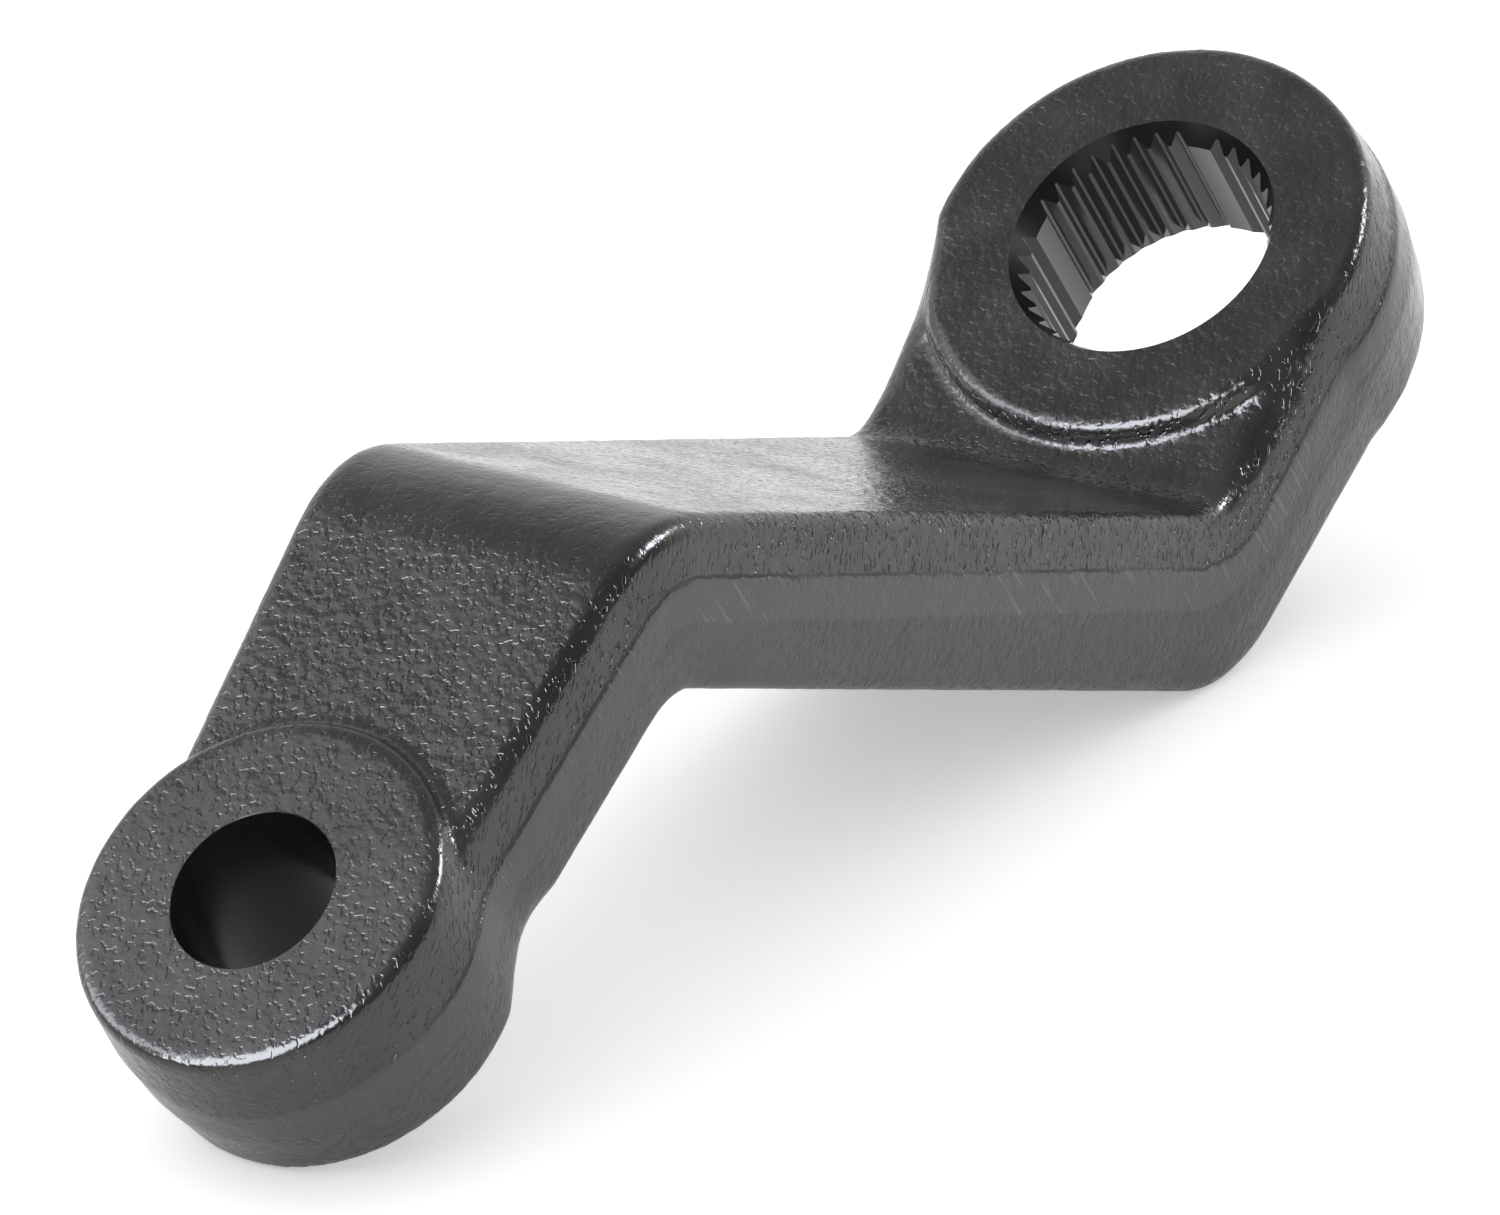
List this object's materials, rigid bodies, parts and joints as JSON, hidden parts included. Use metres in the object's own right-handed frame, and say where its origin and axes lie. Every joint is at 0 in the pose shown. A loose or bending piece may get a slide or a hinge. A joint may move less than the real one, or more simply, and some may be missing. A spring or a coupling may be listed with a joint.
{
  "type": "pitman arm",
  "caption": "Cranked forged steering arm with a serrated bore in its large boss, a tapered stud hole in its small boss and a drafted, tapering bar between them.",
  "frame": {"origin": "centre of the serrated bore on the nut face of the large boss", "axes": "+Z along the serrated bore and out of the nut face, away from the steering gear; +X from the serrated bore towards the tapered stud hole; +Y to the side, across the arm, at a right angle to both"},
  "size_m": [0.204, 0.0592, 0.1215],
  "materials": {
    "black_forging": "black satin paint over an as-forged steel skin"
  },
  "bodies": {
    "root": {"pitman_arm": "black_forging"}
  },
  "joints": []
}
